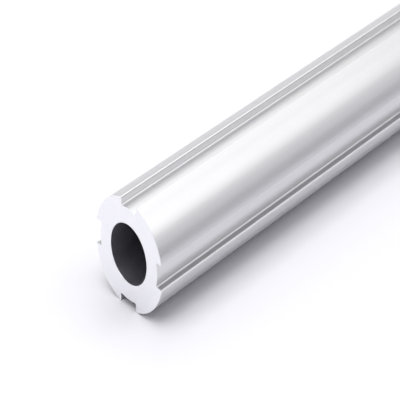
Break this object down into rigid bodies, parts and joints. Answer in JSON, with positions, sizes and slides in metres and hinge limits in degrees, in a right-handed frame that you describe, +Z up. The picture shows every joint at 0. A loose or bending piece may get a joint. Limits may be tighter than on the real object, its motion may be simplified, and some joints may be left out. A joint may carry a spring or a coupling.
{
  "type": "round slotted aluminium extrusion profile",
  "caption": "Round aluminium extrusion profile with a heavy wall, a plain through bore and shallow slots along its outside, sawn square at both ends; stock for clamp-built frames and rollers.",
  "frame": {"origin": "middle of the bar's length, on the floor under its axis", "axes": "+X along the bar, away from the end that the picture shows; +Z up, with one slot straight up and one straight down"},
  "size_m": [0.5, 0.0272, 0.0271],
  "materials": {
    "anodised_aluminium": "satin silver anodised with fine lines along the length, ends sawn"
  },
  "bodies": {
    "root": {"extrusion_profile": "anodised_aluminium"}
  },
  "joints": []
}
